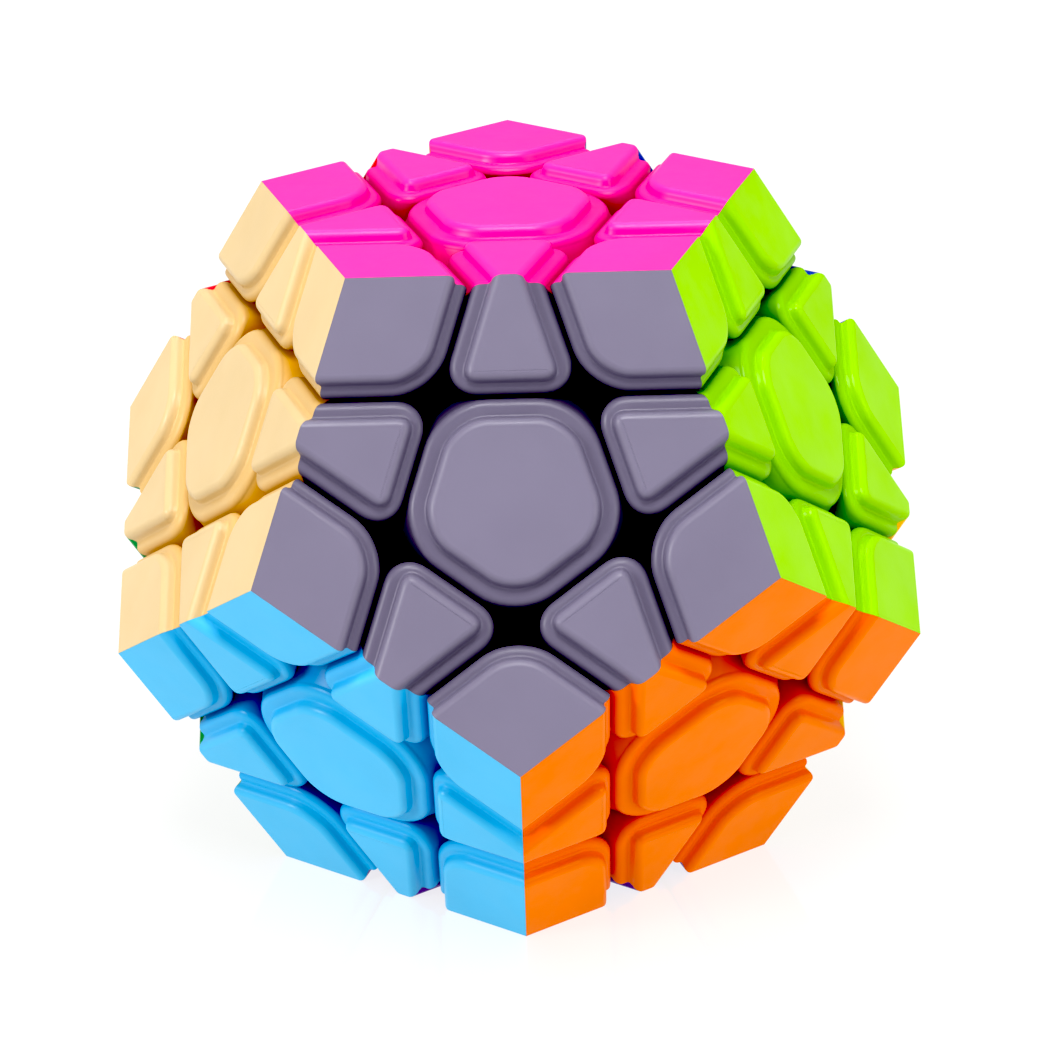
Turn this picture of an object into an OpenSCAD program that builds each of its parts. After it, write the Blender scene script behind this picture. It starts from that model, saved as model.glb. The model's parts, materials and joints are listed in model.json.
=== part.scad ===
// Twelve-sided twisty puzzle with sculpted one-colour facelets.
// Each face layer turns by fifths about its own axis: 12 centres on sprung
// screws, 30 edge pieces and 20 corner pieces hook under one another round a ball core.
// The puzzle rests on its purple face. +Z is up, and the grey face looks towards -Y.

/* [Puzzle] */
// length of one edge of the dodecahedron
edge_len = 28; // [20:0.5:40]
// distance of every cut from the middle, as a share of the distance of the faces
cut_share = 0.675; // [0.64:0.005:0.71]
// clear gap between neighbouring pieces
gap = 0.5; // [0.3:0.05:0.9]

/* [Facelets] */
// how far a ledge lies below the raised top of its facelet
step_depth = 1.1; // [0.6:0.05:1.6]
// width of the ledge round a centre
centre_ledge = 1.35; // [0.8:0.05:2.2]
// width of the ledge along the two slanting sides of an edge facelet
edge_side_ledge = 1.15; // [0.8:0.05:1.8]
// width of the ledge along the inner side of an edge facelet
edge_inner_ledge = 1.45; // [0.6:0.05:1.6]
// width of the ledge of a corner facelet
corner_ledge = 1.55; // [0.6:0.05:1.8]
// rounding of a centre's five corners, at the ledge and at the raised top
centre_round = [5.5, 4]; // [2:0.1:7]
// rounding of an edge facelet's inner corners, at the ledge and at the raised top
edge_round = [2.1, 0.8]; // [0.5:0.1:3]
// rounding of a corner facelet's inner corner, at the ledge and at the raised top
corner_round = [6.5, 5]; // [2:0.1:9]
// thickness of the coloured shells, measured from the raised top
shell_depth = 5; // [3:0.1:5.2]
// thickness of the grey shells, whose pieces are black right below the ledges
grey_shell_depth = 2.8; // [2.4:0.1:5.2]
// thickness of a cap over the hollow for its screw head
cap_skin = 2.6; // [2:0.1:4]
// joint line between the shells of one piece
seam = 0.04; // [0.02:0.01:0.1]

/* [Mechanism] */
// half angle of the cone that a layer turns in above the feet
neck_cone = 41.5; // [40:0.25:43]
// half angle of the wider cone that a layer's feet turn in
foot_cone = 48; // [46:0.25:50]
// radius of the ball surface on top of the feet
foot_r = 20.3; // [19:0.1:22]
// play between the feet and the necks over them
foot_play = 0.3; // [0.2:0.05:0.5]
// distance of the bottom of the feet from the middle
foot_bottom = 15.2; // [14.6:0.1:16]
// radius of the ball core
core_r = 14.4; // [13:0.1:15]
// radius and top of the twelve flats on the core
core_boss = [3.6, 14.9]; // [3:0.1:16]

/* [Screws] */
// shank radius of a tension screw, its free hole in the stem, and its hole in the core
shank = [1.15, 1.35, 1.2]; // [0.9:0.05:1.6]
// radius of the bore in a centre's stem
bore_r = 3; // [2.6:0.05:3.4]
// thickness of the stem's floor
stem_floor = 2.3; // [1.5:0.1:3]
// height of the top of the spring, from the middle
spring_top = 24.9; // [24:0.1:25.5]
// inner and outer radius of the spring
spring_r = [1.75, 2.6]; // [1.4:0.05:2.8]
// radius and thickness of the washer under a screw head
washer = [2.7, 0.4]; // [0.3:0.05:2.9]
// radius and height of a screw head
screw_head = [2.3, 1.2]; // [1:0.05:2.6]
// tip of the screw, from the middle
screw_tip = 8.5; // [7:0.1:10]

/* [Hidden] */
$fn = 48;
phi = (1 + sqrt(5)) / 2;
tilt = acos(1 / sqrt(5));
face_r = edge_len * phi * phi / (2 * sqrt(3 - phi));
cut_r = cut_share * face_r;
ledge_r = face_r - step_depth;
neck_r = foot_r + foot_play;
// half the size of the blocks that stand for half spaces
reach = 60;
// how far the solids of one moulding run into each other
bury = 1.2;
// length, width and depth of the cross recess in a screw head
recess = [3, 0.55, 0.7];
// flats that stand for the rounding of centres, edges, their raised tops, and corners
flats = [3, 3, 2, 4];

// faces: name, colour, polar angle, azimuth, and the spin that points +Y at a neighbour
UPPER = tilt;
LOWER = 180 - tilt;
FACES = [
    ["pink", "#FF4FC6", 0, 0, 180],
    ["grey", "#8D8396", UPPER, -90, 90],
    ["lime", "#A8F000", UPPER, -18, 90],
    ["navy", "#1F3FA8", UPPER, 54, 90],
    ["red", "#D81E2C", UPPER, 126, 90],
    ["cream", "#F8DCA8", UPPER, 198, 90],
    ["white", "#F2F2F0", LOWER, 90, -90],
    ["green", "#0E9A48", LOWER, 162, -90],
    ["blue", "#5BBFFA", LOWER, 234, -90],
    ["orange", "#FF7A00", LOWER, 306, -90],
    ["yellow", "#FFD500", LOWER, 18, -90],
    ["purple", "#6E35A8", 180, 0, 0]
];
PURPLE = 11;
BLACK = "#1C1B1E";
STEEL = "#B9BCC0";

function face_name(f) = FACES[f][0];
function tint(f) = FACES[f][1];
function out(f) = let (p = FACES[f][2], a = FACES[f][3]) [sin(p) * cos(a), sin(p) * sin(a), cos(p)];
function shell_r(f) = face_r - (face_name(f) == "grey" ? grey_shell_depth : shell_depth);
function unit(v) = v / norm(v);
function touching(f, g) = f != g && out(f) * out(g) > 0;

ALL = [0:11];
EDGES = [for (f = ALL) for (g = ALL) if (f < g && touching(f, g)) [f, g]];
CORNERS = [for (e = EDGES) for (h = ALL)
    if (e[1] < h && touching(e[0], h) && touching(e[1], h)) [e[0], e[1], h]];
function beside(piece) = [for (h = ALL) if (len([for (f = piece) if (touching(f, h)) f]) == len(piece)) h];
function middle(piece) = unit(len(piece) == 2 ? out(piece[0]) + out(piece[1])
                                              : out(piece[0]) + out(piece[1]) + out(piece[2]));

// the five corners on the purple face share the node of the edge piece above them
FREE_CORNERS = [for (c = CORNERS) if (c[2] != PURPLE) c];
function low_corner(e) = e[1] != PURPLE && len([for (c = CORNERS) if (c == [e[0], e[1], PURPLE]) c]) > 0;
function centre_node(f) = str("centre_", face_name(f));
function edge_node(e) =
    str("edge_", face_name(e[0]), "_", face_name(e[1]), low_corner(e) ? "_and_corner" : "");
function corner_node(c) = str("corner_", face_name(c[0]), "_", face_name(c[1]), "_", face_name(c[2]));

// the stem under a cap is moulded in the cap's colour, but the grey face has a black one
function stem_tint(f) = face_name(f) == "grey" ? BLACK : tint(f);

// a half space [n, d] keeps every point p with p * n <= d
function in_layer(f) = [-out(f), -cut_r - gap / 2];
function off_layer(f) = [out(f), cut_r - gap / 2];
function below(f, level) = [out(f), level];
function above(f, level) = [-out(f), -level];
function this_side(f, g) = [unit(out(g) - out(f)), -seam / 2];
function past(v, level) = [-v, -level];

// half spaces through the middle that lie off, or in, the cone that a layer turns in
function off_cone(f, v, cone) =
    let (e = unit(v - (v * out(f)) * out(f))) [sin(cone) * out(f) - cos(cone) * e, -gap / 2];
function chord(cone, swing) = atan(tan(cone) * cos(swing));
function crossing(cone) = acos(cos(cone) * (1 - cos(tilt)) / (sin(cone) * sin(tilt)));
function in_cone(f, v, cone, swing) =
    let (e = unit(v - (v * out(f)) * out(f)), c = chord(cone, swing))
    [cos(c) * e - sin(c) * out(f), -gap / 2];

// rounding: half spaces tangent to a cylinder of radius r that fits between half spaces a and b
function rounding(a, b, r, count) = [for (i = [1:count])
    let (t = i / (count + 1), m = (1 - t) * a[0] + t * b[0], s = 1 / norm(m))
    [m * s, s * ((1 - t) * (a[1] - r) + t * (b[1] - r)) + r]];

// side walls of a raised top, square to its face
function along(f, g) = unit(out(g) - (out(g) * out(f)) * out(f));
function cut_at(level, side) = (cut_r + side * gap / 2 - level * cos(tilt)) / sin(tilt);
function top_off(f, g, ledge) = [along(f, g), cut_at(ledge_r, -1) - ledge];
function top_in(f, g, ledge) = [-along(f, g), -cut_at(ledge_r, 1) - ledge];

module half(h) {
    rotate([0, acos(h[0][2] / norm(h[0])), atan2(h[0][1], h[0][0])])
        translate([-reach, -reach, h[1] - 2 * reach])
            cube(2 * reach);
}

module cell(spaces) {
    intersection_for (h = spaces) half(h);
}

module face_up(f) {
    rotate([0, 0, FACES[f][3]]) rotate([0, FACES[f][2], 0]) rotate([0, 0, FACES[f][4]]) children();
}

// a round rod, or what is cut away for one, along +Z
module rod(r, from, to) {
    translate([0, 0, from]) cylinder(r = r, h = to - from);
}

// one coloured shell on face f: a ledge slab with its raised top
module shell(f, ledge_walls, top_walls) {
    color(tint(f)) union() {
        cell(concat(ledge_walls, [below(f, ledge_r), above(f, shell_r(f))]));
        cell(concat(top_walls, [below(f, face_r), above(f, ledge_r - bury)]));
    }
}

// neighbours of face f in turning order
function ring(f) = let (start = beside([f])[0])
    [for (i = [0:4]) let (a = 72 * i, n = out(f), v = along(f, start),
        w = cos(a) * v + sin(a) * cross_of(n, v))
        [for (g = beside([f])) if (along(f, g) * w > 0.9) g][0]];
function cross_of(a, b) = [a[1] * b[2] - a[2] * b[1], a[2] * b[0] - a[0] * b[2], a[0] * b[1] - a[1] * b[0]];

module centre(f) {
    near = ring(f);
    walls = [for (g = near) off_layer(g)];
    tops = [for (g = near) top_off(f, g, centre_ledge)];
    softened = [for (i = [0:4]) each rounding(walls[i], walls[(i + 1) % 5], centre_round[0], flats[0])];
    soft_tops = [for (i = [0:4]) each rounding(tops[i], tops[(i + 1) % 5], centre_round[1], flats[0])];
    color(tint(f)) difference() {
        shell(f, concat(walls, softened), concat(tops, soft_tops));
        face_up(f) rod(bore_r, shell_r(f) - 1, face_r - cap_skin);
    }
    color(stem_tint(f)) difference() {
        union() {
            difference() {
                cell(concat(walls, softened, [for (g = near) off_cone(g, out(f), neck_cone)],
                    [below(f, shell_r(f) - seam), above(f, foot_r)]));
                sphere(neck_r);
            }
            cell(concat([for (g = near) off_cone(g, out(f), foot_cone)],
                [below(f, neck_r + bury), above(f, foot_bottom)]));
        }
        face_up(f) {
            rod(bore_r, foot_bottom + stem_floor, face_r);
            rod(shank[1], foot_bottom - 1, face_r);
        }
    }
}

module edge(e) {
    v = middle(e);
    ends = beside(e);
    sides = [for (g = ends) off_layer(g)];
    // walls towards the two face centres, and their rounding into the side walls
    inner = [in_layer(e[1]), in_layer(e[0])];
    soft = [for (w = inner) [for (s = sides) each rounding(w, s, edge_round[0], flats[1])]];
    for (k = [0, 1]) {
        f = e[k];
        g = e[1 - k];
        top_walls = concat([top_in(f, g, edge_inner_ledge)],
            [for (s = ends) top_off(f, s, edge_side_ledge)]);
        shell(f, concat([inner[k]], sides, soft[k], [this_side(f, g)]),
            concat(top_walls, rounding(top_walls[0], top_walls[1], edge_round[1], flats[2]),
                rounding(top_walls[0], top_walls[2], edge_round[1], flats[2]), [this_side(f, g)]));
    }
    necks = [for (g = ends) off_cone(g, v, neck_cone)];
    feet = [for (g = ends) off_cone(g, v, foot_cone)];
    slim = [for (f = e) in_cone(f, v, neck_cone, 72 - crossing(neck_cone))];
    broad = [for (f = e) in_cone(f, v, foot_cone, 72 - crossing(foot_cone))];
    color(BLACK) union() {
        cell(concat(inner, sides, necks, soft[0], soft[1], [for (f = e) below(f, shell_r(f) - seam)]));
        difference() {
            cell(concat(slim, necks, sides, [for (f = e) below(f, shell_r(f) - bury)], [past(v, foot_r)]));
            sphere(neck_r);
        }
        cell(concat(slim, feet, [[v, neck_r + bury], past(v, foot_bottom + bury)]));
        intersection() {
            cell(concat(broad, feet, [past(v, foot_bottom), [v, foot_r + bury]]));
            sphere(foot_r);
        }
    }
}

module corner(c) {
    v = middle(c);
    inner = [for (f = c) in_layer(f)];
    soft = [for (k = [0:2]) rounding(inner[(k + 1) % 3], inner[(k + 2) % 3], corner_round[0], flats[3])];
    for (k = [0:2]) {
        f = c[k];
        g = c[(k + 1) % 3];
        h = c[(k + 2) % 3];
        tops = [top_in(f, g, corner_ledge), top_in(f, h, corner_ledge)];
        mitres = [this_side(f, g), this_side(f, h)];
        shell(f, concat([inner[(k + 1) % 3], inner[(k + 2) % 3]], soft[k], mitres),
            concat(tops, rounding(tops[0], tops[1], corner_round[1], flats[3]), mitres));
    }
    slim = [for (f = c) in_cone(f, v, neck_cone, crossing(neck_cone) - 36)];
    broad = [for (f = c) in_cone(f, v, foot_cone, crossing(foot_cone) - 36)];
    color(BLACK) union() {
        cell(concat(inner, soft[0], soft[1], soft[2], [for (f = c) below(f, shell_r(f) - seam)]));
        cell(concat(slim, [past(v, foot_bottom + bury)], [for (f = c) below(f, shell_r(f) - bury)]));
        intersection() {
            cell(concat(broad, [past(v, foot_bottom), [v, foot_r + bury]]));
            sphere(foot_r);
        }
    }
}

module core() {
    color(BLACK) difference() {
        union() {
            sphere(core_r);
            for (f = ALL) face_up(f) rod(core_boss[0], core_r - 3, core_boss[1]);
        }
        for (f = ALL) face_up(f) rod(shank[2], screw_tip - 1, core_boss[1] + 1);
    }
}

module tension_screws() {
    head_from = spring_top + seam + washer[1];
    color(STEEL) for (f = ALL) face_up(f) difference() {
        union() {
            rod(shank[0], screw_tip, head_from + 0.5);
            rod(washer[0], spring_top + seam, head_from);
            rod(screw_head[0], head_from, head_from + screw_head[1]);
        }
        for (turn = [0, 90]) rotate([0, 0, turn])
            translate([-recess[0] / 2, -recess[1] / 2, head_from + screw_head[1] - recess[2]])
                cube([recess[0], recess[1], 2]);
    }
}

module tension_springs() {
    from = foot_bottom + stem_floor + seam;
    color(STEEL) for (f = ALL) face_up(f) difference() {
        rod(spring_r[1], from, spring_top);
        rod(spring_r[0], from - 1, spring_top + 1);
    }
}

translate([0, 0, face_r]) {
    core();
    tension_screws();
    tension_springs();
    for (f = ALL)
        centre(f);
    for (e = EDGES)
        union() {
            edge(e);
            if (low_corner(e)) corner([e[0], e[1], PURPLE]);
        }
    for (c = FREE_CORNERS)
        corner(c);
}
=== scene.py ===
import json
from math import atan, cos, pi, radians, sin, tan

import bmesh
import bpy
from mathutils import Matrix, Vector


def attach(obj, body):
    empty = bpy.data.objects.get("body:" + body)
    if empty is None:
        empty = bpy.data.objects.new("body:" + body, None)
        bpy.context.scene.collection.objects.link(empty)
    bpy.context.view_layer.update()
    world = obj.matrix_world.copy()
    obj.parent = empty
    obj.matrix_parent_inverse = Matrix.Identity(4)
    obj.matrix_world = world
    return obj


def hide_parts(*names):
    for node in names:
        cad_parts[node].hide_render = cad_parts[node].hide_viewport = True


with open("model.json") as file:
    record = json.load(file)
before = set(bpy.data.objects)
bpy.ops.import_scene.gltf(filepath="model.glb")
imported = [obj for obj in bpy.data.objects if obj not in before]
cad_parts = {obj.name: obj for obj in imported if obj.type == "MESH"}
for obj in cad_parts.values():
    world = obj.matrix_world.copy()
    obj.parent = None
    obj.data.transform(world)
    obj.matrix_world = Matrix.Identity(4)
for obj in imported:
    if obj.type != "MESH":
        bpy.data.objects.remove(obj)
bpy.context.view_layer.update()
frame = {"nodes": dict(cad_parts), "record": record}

# ---------------------------------------------------------------- centre caps
# A centre cap is the five-sided button in the middle of a face: a moulded shell with
# a raised top, a groove round it and a rounded ledge. It clips over the stem that the
# face turns on. All lengths in this file are in metres, and places come from the frame.
MM = 0.001
record = frame["record"]
turns = {j["name"][len("turn_"):]: j for j in record["behaviour"]["joints"]
         if j["name"].startswith("turn_")}
middle = Vector(turns["grey"]["pos_m"])      # of the whole puzzle
face_r = middle.z                            # from there to every face
axes = {name: Vector(j["axis"]) for name, j in turns.items()}
axes["purple"] = Vector((0, 0, -1))
body_of_node = {n: b for b, ns in record["behaviour"]["bodies"].items() for n in ns}

tilt = atan(2)                       # between the axes of neighbouring faces
gap = 0.3 * MM                       # clear gap between the shells of neighbouring pieces
cut_r = 0.675 * face_r               # distance of every cut from the middle
step_depth = 1.1 * MM                # the ledge lies this far below the raised top
shell_depth = 5 * MM                 # the coloured shells reach this far down
# The grey shells stop shallower, so the black beneath them shows in the grey face's gaps as
# painted shade.
grey_depth = 2.8 * MM                # and the grey ones this far
seam = 0.01 * MM                     # between the shells of one piece
ledge_r = face_r - step_depth


def near(a, b):
    """Whether two faces meet at an edge: the axes of all others point apart."""
    return a != b and axes[a].dot(axes[b]) > 0


def in_face(azimuth):
    """Direction in the plane of a face, from its own +X."""
    return Vector((cos(radians(azimuth)), sin(radians(azimuth)), 0))


def cut_wall(azimuth, side):
    """The cut that a neighbour makes in a face, kept on its inner (-1) or outer (1) side."""
    normal = in_face(azimuth) * sin(tilt) + Vector((0, 0, cos(tilt)))
    return -side * normal, -side * cut_r - gap / 2


def keep(mesh, normal, distance):
    """Cuts away what lies beyond a plane, and closes the cut."""
    done = bmesh.ops.bisect_plane(mesh, geom=mesh.verts[:] + mesh.edges[:] + mesh.faces[:],
                                  dist=1e-8, plane_co=normal * distance, plane_no=normal,
                                  clear_outer=True)
    edges = [e for e in done["geom_cut"] if isinstance(e, bmesh.types.BMEdge) and e.is_boundary]
    bmesh.ops.holes_fill(mesh, edges=edges, sides=0)


def facelet(depth, walls, rounding, turn, ledge, far=(), shift=0, mitres=()):
    """One sculpted shell in the frame of its face, with the puzzle's middle at the origin.
    walls are the cuts round it. Where they meet, the outline turns by so many degrees on an
    arc of the radius rounding. far are loose ends beyond a crease, which the mitres trim.
    The top stands in from the outline by the ledge, and shift brings it nearer the middle."""
    rim, fillet, top_rim = 0.75 * MM, 0.26 * MM, 0.75 * MM       # radii, from the outside in
    draft = 0.06 * MM                                            # lean of the groove's wall
    blank = 80 * MM                                              # wider than any facelet
    same_way = 0.9999                                            # cosine between normals
    mesh = bmesh.new()
    bmesh.ops.create_cube(mesh, size=1)
    foot, shoulder = face_r - depth, ledge_r - rim
    bmesh.ops.scale(mesh, verts=mesh.verts, vec=(blank, blank, shoulder - foot))
    bmesh.ops.translate(mesh, verts=mesh.verts, vec=(0, 0, (shoulder + foot) / 2))
    for normal, distance in (*walls, *far):
        keep(mesh, normal, distance)
    mesh.normal_update()
    is_cut = {f: any(f.normal.dot(n) > same_way for n, d in walls) for f in mesh.faces}
    upright = [e for e in mesh.edges if all(is_cut[f] for f in e.link_faces)]
    bmesh.ops.bevel(mesh, geom=upright, offset=rounding * tan(radians(turn) / 2), segments=10,
                    profile=0.5, affect="EDGES", material=-1, clamp_overlap=False)
    mesh.normal_update()
    top = max(mesh.faces, key=lambda f: f.calc_center_median().z)

    def grow(inset, rise):
        bmesh.ops.inset_region(mesh, faces=[top], thickness=inset, depth=rise,
                               use_boundary=True, use_even_offset=True)

    def arc(radius, steps, rising):
        """A quarter round, upright first (rising) or level first."""
        for i in range(steps):
            a, b = pi / 2 * i / steps, pi / 2 * (i + 1) / steps
            across, up = radius * (cos(a) - cos(b)), radius * (sin(b) - sin(a))
            grow(*((across, up) if rising else (up, across)))

    arc(rim, steps=6, rising=True)
    grow(ledge - rim - fillet - draft, 0)
    bmesh.ops.translate(mesh, verts=top.verts[:], vec=(0, -shift, 0))
    arc(fillet, steps=4, rising=False)
    grow(draft, step_depth - fillet - top_rim)
    arc(top_rim, steps=6, rising=True)
    for normal, distance in mitres:
        keep(mesh, normal, distance)
    bmesh.ops.recalc_face_normals(mesh, faces=mesh.faces)
    # How far down a point lies sets how much painted shade darkens its colour.
    shade_depth = mesh.verts.layers.float.new("shade_depth")       # how far down a point lies, 0 to 1
    for vert in mesh.verts:
        vert[shade_depth] = (face_r - vert.co.z) / shell_depth
    made = bpy.data.meshes.new("facelet")
    mesh.to_mesh(made)
    mesh.free()
    return made


def face_matrix(face, towards):
    """Takes a facelet's frame to its place: +Z out of the face, +Y towards a neighbour."""
    z = axes[face]
    y = (axes[towards] - z * axes[towards].dot(z)).normalized()
    turned = Matrix((y.cross(z), y, z)).transposed().to_4x4()
    return Matrix.Translation(middle) @ turned


def placed(name, mesh, material, body, slot, matrix=None):
    """Makes a finished piece from a mesh, smooth with crisp corners, riding on its body."""
    own = mesh.copy()
    if matrix is not None:
        own.transform(matrix)
    own.materials.clear()
    own.materials.append(material)
    own.shade_smooth()
    own.set_sharp_from_angle(angle=radians(50))
    piece = bpy.data.objects.new(name, own)
    bpy.context.scene.collection.objects.link(piece)
    even = piece.modifiers.new("even_shading", "WEIGHTED_NORMAL")
    even.keep_sharp = True
    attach(piece, body)
    return piece


def linear(hex_colour):
    channels = [int(hex_colour[i:i + 2], 16) / 255 for i in (1, 3, 5)]
    return [c / 12.92 if c <= 0.04045 else ((c + 0.055) / 1.055) ** 2.4 for c in channels] + [1]


def add(tree, kind, sockets=(), **settings):
    """Adds a node with its settings; a socket's value is a number, a colour or an output."""
    node = tree.nodes.new(kind)
    for key, value in settings.items():
        setattr(node, key, value)
    for key, value in dict(sockets).items():
        if isinstance(value, bpy.types.NodeSocket):
            tree.links.new(value, node.inputs[key])
        else:
            node.inputs[key].default_value = value
    return node


# Through-coloured ABS, injection moulded against a fine spark-eroded steel: satin, a little
# cloudy in tone, with a darker tone painted in as shade down in the grooves and the cuts.
# The real grain is too fine to show, so it is drawn a quarter of a millimetre wide.
flow_size, touch_size, grain_size = 11.1 * MM, 3.85 * MM, 0.25 * MM
# Each colour has its body tone and a darker painted shade tone for the grooves and walls.
ABS = {"pink": ("#E83C9D", "#C80562"), "grey": ("#746F81", "#3E384B"),
       "lime": ("#90CE00", "#5C9E00"), "navy": ("#1A3AA4", "#0D1F70"),
       "red": ("#CC1428", "#940716"), "cream": ("#CBB286", "#C8901E"),
       "white": ("#EDEDEB", "#C4C4C1"), "green": ("#0B8E40", "#05682A"),
       "blue": ("#52B6E4", "#108AC8"), "orange": ("#F07800", "#E05C00"),
       "yellow": ("#F4BE04", "#D89400"), "purple": ("#622E98", "#42196E")}


def moulded_abs(name, body, painted_shade, roughness):
    material = bpy.data.materials.new(name)
    material.use_nodes = True
    tree = material.node_tree
    shader = tree.nodes["Principled BSDF"]
    place = add(tree, "ShaderNodeTexCoord").outputs["Object"]
    flow = add(tree, "ShaderNodeTexNoise", {"Vector": place, "Detail": 3,
                                            "Scale": 1 / flow_size})
    tone = add(tree, "ShaderNodeMapRange", {"Value": flow.outputs["Fac"], "From Min": 0.3,
                                            "From Max": 0.7, "To Min": 0.955, "To Max": 1.03})
    # Painted shade: the colour runs from the body tone to the painted shade tone the further
    # down below the raised top a point lies.
    shade_depth = add(tree, "ShaderNodeAttribute", attribute_name="shade_depth").outputs["Fac"]
    ramp = add(tree, "ShaderNodeValToRGB", {"Fac": shade_depth})
    high_end, low_end = ramp.color_ramp.elements
    high_end.position, high_end.color = 0.1, linear(body)
    low_end.position, low_end.color = 0.5, linear(painted_shade)
    hue = add(tree, "ShaderNodeHueSaturation", {"Color": ramp.outputs["Color"],
                                                "Value": tone.outputs["Result"]})
    tree.links.new(hue.outputs["Color"], shader.inputs["Base Color"])
    touch = add(tree, "ShaderNodeTexNoise", {"Vector": place, "Detail": 5,
                                             "Scale": 1 / touch_size})
    sheen = add(tree, "ShaderNodeMapRange", {"Value": touch.outputs["Fac"], "From Min": 0.3,
                                             "From Max": 0.7, "To Min": roughness - 0.05,
                                             "To Max": roughness + 0.06})
    tree.links.new(sheen.outputs["Result"], shader.inputs["Roughness"])
    grain = add(tree, "ShaderNodeTexNoise", {"Vector": place, "Detail": 2,
                                             "Scale": 1 / grain_size})
    bump = add(tree, "ShaderNodeBump", {"Height": grain.outputs["Fac"], "Strength": 0.16,
                                        "Distance": 0.03 * MM})
    tree.links.new(bump.outputs["Normal"], shader.inputs["Normal"])
    shader.inputs["IOR"].default_value = 1.53
    shader.inputs["Specular IOR Level"].default_value = 0.25
    return material


plastic = {name: moulded_abs(name + "_moulded_abs", *tones, roughness=0.36)
           for name, tones in ABS.items()}
depth_of = {face: grey_depth if face == "grey" else shell_depth for face in axes}
five_ways = [90 + 72 * k for k in range(5)]
caps = {depth: facelet(depth, [cut_wall(azimuth, -1) for azimuth in five_ways],
                       rounding=5.5 * MM, turn=72, ledge=1.73 * MM)
        for depth in (shell_depth, grey_depth)}
own_matrix = {face: face_matrix(face, next(other for other in axes if near(face, other)))
              for face in axes}
for face in axes:
    node = "centre_" + face
    piece = placed(node + "_cap", caps[depth_of[face]], plastic[face], body_of_node[node],
                   "plastic_" + face, own_matrix[face])
    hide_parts(node)

# ---------------------------------------------------------------- edge pieces
# An edge piece wears two shells that meet on the crease between two faces. Each shell has
# a raised top that narrows towards the crease, where its ledge shows as a notch on each side.
crease = face_r * tan(tilt / 2)      # from the middle of a face to its sides
overrun = 6 * MM                     # of a shell past the crease, before it is mitred
mitre_up = Vector((0, cos(tilt / 2), -sin(tilt / 2)))
edge_shells = {depth: facelet(depth, [cut_wall(90, 1), cut_wall(18, -1), cut_wall(162, -1)],
                              rounding=2.4 * MM, turn=108, ledge=1.41 * MM,
                              far=[(in_face(90), crease + overrun)], shift=0.31 * MM,
                              mitres=[(mitre_up, -seam / 2)])
               for depth in (shell_depth, grey_depth)}

# ---------------------------------------------------------------- corner pieces
# A corner piece wears three shells round one vertex. Each has a raised rhombic top with one
# broad rounded corner towards the middle of its face, and a ledge along its two inner sides.
mitre_right = Matrix.Rotation(radians(-72), 3, "Z") @ mitre_up
corner_shells = {depth: facelet(depth, [cut_wall(90, 1), cut_wall(18, 1)],
                                rounding=5.1 * MM, turn=72, ledge=1.17 * MM,
                                far=[(in_face(90), crease + overrun),
                                     (in_face(18), crease + overrun)],
                                mitres=[(mitre_up, -seam / 2), (mitre_right, -seam / 2)])
                 for depth in (shell_depth, grey_depth)}


def faces_of(node):
    """The faces that a node's piece shows: its name lists them."""
    return [word for word in node.split("_") if word in axes]


def shells(prefix, faces, body, node):
    """Puts a shell on each face that a piece shows. Seen from outside, a corner's second
    neighbour follows its first clockwise."""
    for face in faces:
        first, *second = [f for f in faces if f != face]
        if second and axes[first].cross(axes[second[0]]).dot(axes[face]) > 0:
            first = second[0]
        shape = (corner_shells if second else edge_shells)[depth_of[face]]
        made = placed(prefix + "_" + face + "_shell", shape, plastic[face], body,
                      "plastic_" + face, face_matrix(face, first))
        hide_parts(node)


for node, body in body_of_node.items():
    names = faces_of(node)
    if len(names) > 1:
        shells("_".join([node.split("_")[0], *names]), names, body, node)
    if node.endswith("_and_corner"):
        shells("_".join(["corner", *names, "purple"]), names + ["purple"], body, node)

# ---------------------------------------------------------------- stems and inner bodies
# Under the shells each piece has an inner body of black ABS with a neck and a foot, which
# hooks under its neighbours. A centre's stem is hollow for its spring and screw, and is
# moulded in the colour of its face; the one under the grey cap is black, as painted shade in
# the grey face's gaps.
black_abs = moulded_abs("black_moulded_abs", "#151417", "#0E0D10", roughness=0.45)
inner_reach = 20 * MM                # inner bodies come closer to the middle than this
stem_fit = 0.985                     # a stem is a hair slimmer than the cap clipped over it
broken_edge = 0.18 * MM
steep = 0.7                          # a low corner's body heads downwards by more than this


def inner_bodies(node):
    """The solids of a node that reach the mechanism, as meshes with their flat faces whole."""
    mesh = bmesh.new()
    mesh.from_mesh(frame["nodes"][node].data)
    bmesh.ops.remove_doubles(mesh, verts=mesh.verts, dist=1e-6)
    bmesh.ops.dissolve_limit(mesh, angle_limit=radians(0.5), verts=mesh.verts, edges=mesh.edges)
    left = set(mesh.verts)
    for first in mesh.verts:
        if first not in left:
            continue
        left.remove(first)
        solid, newest = {first}, [first]
        while newest:
            vert = newest.pop()
            reached = {e.other_vert(vert) for e in vert.link_edges} & left
            left -= reached
            solid |= reached
            newest.extend(reached)
        if min((v.co - middle).length for v in solid) < inner_reach:
            own = mesh.copy()
            own.verts.ensure_lookup_table()
            kept = {v.index for v in solid}
            others = [v for v in own.verts if v.index not in kept]
            bmesh.ops.delete(own, geom=others, context="VERTS")
            made = bpy.data.meshes.new("inner")
            own.to_mesh(made)
            own.free()
            yield made
    mesh.free()


def slim(stem, axis):
    """Draws a stem in towards its axis where it stands inside its cap."""
    for vert in stem.vertices:
        height = (vert.co - middle).dot(axis)
        if height > inner_reach:
            on_axis = middle + axis * height
            vert.co = on_axis + (vert.co - on_axis) * stem_fit


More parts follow.
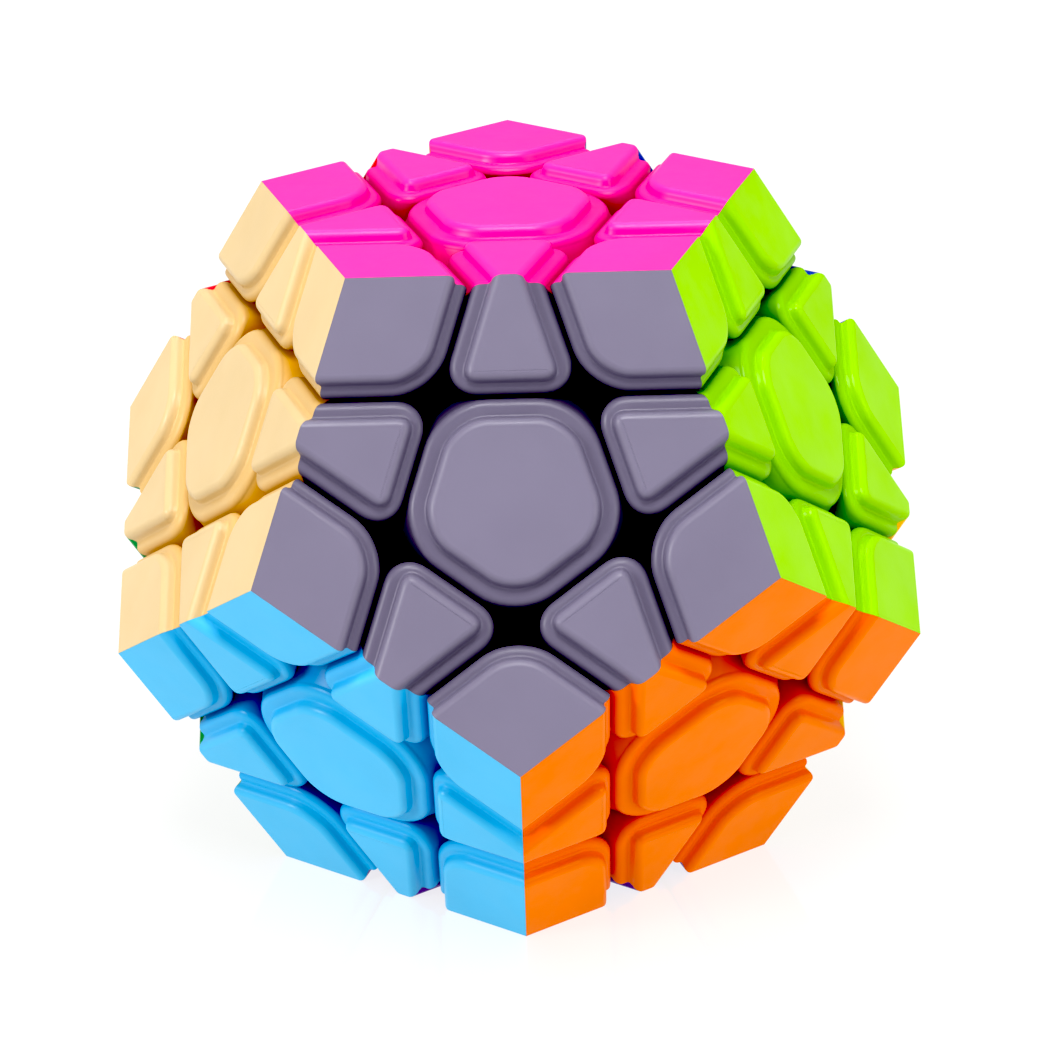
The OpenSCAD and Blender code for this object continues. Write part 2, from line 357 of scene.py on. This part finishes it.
for node, body in body_of_node.items():
    names = faces_of(node)
    if not names:
        continue
    for made in inner_bodies(node):
        finish, slot = black_abs, "plastic_black"
        if len(names) == 1:
            name = node + "_stem"
            slim(made, axes[names[0]])
            # The grey stem keeps the black finish: painted shade in the grey face's gaps.
            if names[0] != "grey":
                finish, slot = plastic[names[0]], "plastic_" + names[0]
        else:
            heading = sum((v.co for v in made.vertices), Vector()) / len(made.vertices) - middle
            low_corner = node.endswith("_and_corner") and heading.normalized().z < -steep
            words = ["corner", *names, "purple"] if low_corner else [node.split("_")[0], *names]
            name = "_".join([*words, "body"])
        piece = placed(name, made, finish, body, slot)
        soften = piece.modifiers.new("broken_edges", "BEVEL")
        soften.width, soften.segments, soften.limit_method = broken_edge, 2, "ANGLE"
        soften.angle_limit = radians(40)
        piece.modifiers.move(1, 0)
        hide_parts(node)

# ---------------------------------------------------------------- core and screws
# The core is one black moulded ball with a flat for each stem. The screws are zinc-plated
# steel with pressed cross recesses, and carry a captive washer over the spring.
for slot in frame["nodes"]["core"].material_slots:
    slot.material = black_abs


def bright_metal(name, hex_colour, roughness):
    """Smooth bright metal: a light grey with fine tooling marks and cloudy dull patches."""
    cloud_size, mark_size = 1.43 * MM, 0.111 * MM
    material = bpy.data.materials.new(name)
    material.use_nodes = True
    tree = material.node_tree
    shader = tree.nodes["Principled BSDF"]
    place = add(tree, "ShaderNodeTexCoord").outputs["Object"]
    clouds = add(tree, "ShaderNodeTexNoise", {"Vector": place, "Detail": 4,
                                              "Scale": 1 / cloud_size})
    dull = add(tree, "ShaderNodeMapRange", {"Value": clouds.outputs["Fac"], "From Min": 0.3,
                                            "From Max": 0.7, "To Min": roughness - 0.08,
                                            "To Max": roughness + 0.12})
    tree.links.new(dull.outputs["Result"], shader.inputs["Roughness"])
    marks = add(tree, "ShaderNodeTexNoise", {"Vector": place, "Detail": 2,
                                             "Scale": 1 / mark_size})
    bump = add(tree, "ShaderNodeBump", {"Height": marks.outputs["Fac"], "Strength": 0.2,
                                        "Distance": 0.01 * MM})
    tree.links.new(bump.outputs["Normal"], shader.inputs["Normal"])
    shader.inputs["Base Color"].default_value = linear(hex_colour)
    shader.inputs["Metallic"].default_value = 1
    return material


zinc_plate = bright_metal("zinc_plated_steel", "#C4C6CA", roughness=0.3)
for slot in frame["nodes"]["tension_screws"].material_slots:
    slot.material = zinc_plate

# ---------------------------------------------------------------- tension springs
# Each stem holds a compression spring of bright steel wire, closed at both ends, between
# the stem's floor and the screw's washer.
wire_r = 0.36 * MM
coil_r = 2.17 * MM
spring_low, spring_high = 17.6 * MM, 24.84 * MM      # measured from the middle
active_turns, steps_per_turn = 6, 24
spring_wire = bright_metal("bright_spring_wire", "#A9ABB0", roughness=0.24)
coil = bmesh.new()
bmesh.ops.create_circle(coil, cap_ends=True, segments=8, radius=wire_r)
bmesh.ops.rotate(coil, verts=coil.verts, matrix=Matrix.Rotation(pi / 2, 3, "X"), cent=(0, 0, 0))
bmesh.ops.translate(coil, verts=coil.verts, vec=(coil_r, 0, spring_low + wire_r))
wound = coil.faces[:]
closed_pitch = 2.05 * wire_r
open_pitch = (spring_high - spring_low - 2 * wire_r - 2 * closed_pitch) / active_turns
section_ends = []
for turns_wound, pitch in ((1, closed_pitch), (active_turns, open_pitch), (1, closed_pitch)):
    steps = turns_wound * steps_per_turn
    swept = bmesh.ops.spin(coil, geom=wound, cent=(0, 0, 0), axis=(0, 0, 1), steps=steps,
                           dvec=(0, 0, pitch / steps_per_turn), angle=2 * pi * turns_wound)
    wound = [g for g in swept["geom_last"] if isinstance(g, bmesh.types.BMFace)]
    section_ends += wound
bmesh.ops.delete(coil, geom=section_ends[:-1], context="FACES_ONLY")
bmesh.ops.remove_doubles(coil, verts=coil.verts, dist=1e-7)
bmesh.ops.recalc_face_normals(coil, faces=coil.faces)
spring = bpy.data.meshes.new("spring")
coil.to_mesh(spring)
coil.free()
for face in axes:
    piece = placed("spring_" + face, spring, spring_wire, body_of_node["tension_springs"],
                   "spring_steel", own_matrix[face])
    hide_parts("tension_springs")

# ---------------------------------------------------------------- table top, lights and camera
# A plain white acrylic table top, lit from below and faintly glossy, a broad soft key light
# from the upper left, a softer one from the right, and two overhead.
table_reach = 6
hairline = 0.02 * MM                 # between the table top and what stands on it
floor_mesh = bmesh.new()
bmesh.ops.create_grid(floor_mesh, x_segments=1, y_segments=1, size=table_reach)
bmesh.ops.translate(floor_mesh, verts=floor_mesh.verts, vec=(0, 0, -hairline))
floor_data = bpy.data.meshes.new("table_top")
floor_mesh.to_mesh(floor_data)
floor_mesh.free()
table_top = bpy.data.objects.new("table_top", floor_data)
bpy.context.scene.collection.objects.link(table_top)
white_acrylic = bpy.data.materials.new("lit_white_acrylic")
white_acrylic.use_nodes = True
gloss = white_acrylic.node_tree.nodes["Principled BSDF"]
gloss.inputs["Base Color"].default_value = linear("#6C6C6C")
gloss.inputs["Emission Color"].default_value = linear("#FFFFFF")
gloss.inputs["Emission Strength"].default_value = 0.82
gloss.inputs["Roughness"].default_value = 0.035
gloss.inputs["IOR"].default_value = 1.7
floor_data.materials.append(white_acrylic)

# The room lights the puzzle softly and evenly, and behind it looks a clean white.
scene = bpy.context.scene
scene.world = bpy.data.worlds.new("white_room")
scene.world.use_nodes = True
room = scene.world.node_tree.nodes["Background"]
room.inputs["Color"].default_value = linear("#FFFFFF")
seen = add(scene.world.node_tree, "ShaderNodeLightPath").outputs["Is Camera Ray"]
strength = add(scene.world.node_tree, "ShaderNodeMapRange", {"Value": seen, "To Min": 0.42,
                                                             "To Max": 1.05})
scene.world.node_tree.links.new(strength.outputs["Result"], room.inputs["Strength"])


def soft_light(name, place, size, power):
    lamp = bpy.data.lights.new(name, "AREA")
    lamp.shape, lamp.size, lamp.energy = "DISK", size, power
    stand = bpy.data.objects.new(name, lamp)
    scene.collection.objects.link(stand)
    stand.location = middle + Vector(place)
    stand.rotation_euler = (-Vector(place)).to_track_quat("-Z", "Y").to_euler()


soft_light("key_light", (-0.85, -0.5, 0.45), 0.35, 6.8)
soft_light("fill_light", (0.85, -0.5, 0.3), 0.6, 3.6)
soft_light("top_light", (0.0, -0.35, 0.9), 0.45, 8.5)
soft_light("back_light", (0.0, 0.55, 1.1), 0.8, 5)

azimuth, elevation, roll = radians(0.44), radians(23.5), radians(-1.6)
camera_distance = 0.371
back = Vector((sin(azimuth) * cos(elevation), -cos(azimuth) * cos(elevation), sin(elevation)))
level = Vector((cos(azimuth), sin(azimuth), 0))
right = level * cos(roll) + back.cross(level) * sin(roll)
lens = bpy.data.cameras.new("camera")
lens.sensor_width = 36
lens.lens = 136.4
lens.shift_x, lens.shift_y = 0.0075, -0.0046
lens.clip_start, lens.clip_end = 0.01, 20
camera = bpy.data.objects.new("camera", lens)
scene.collection.objects.link(camera)
camera.matrix_world = Matrix.Translation(middle + back * camera_distance) @ Matrix(
    (right, back.cross(right), back)).transposed().to_4x4()
scene.camera = camera

# Plain display colours, with the blacks a little deeper.
scene.view_settings.view_transform = "Standard"
scene.view_settings.use_curve_mapping = True
scene.view_settings.curve_mapping.black_level = (0.07, 0.07, 0.07)
scene.view_settings.curve_mapping.update()
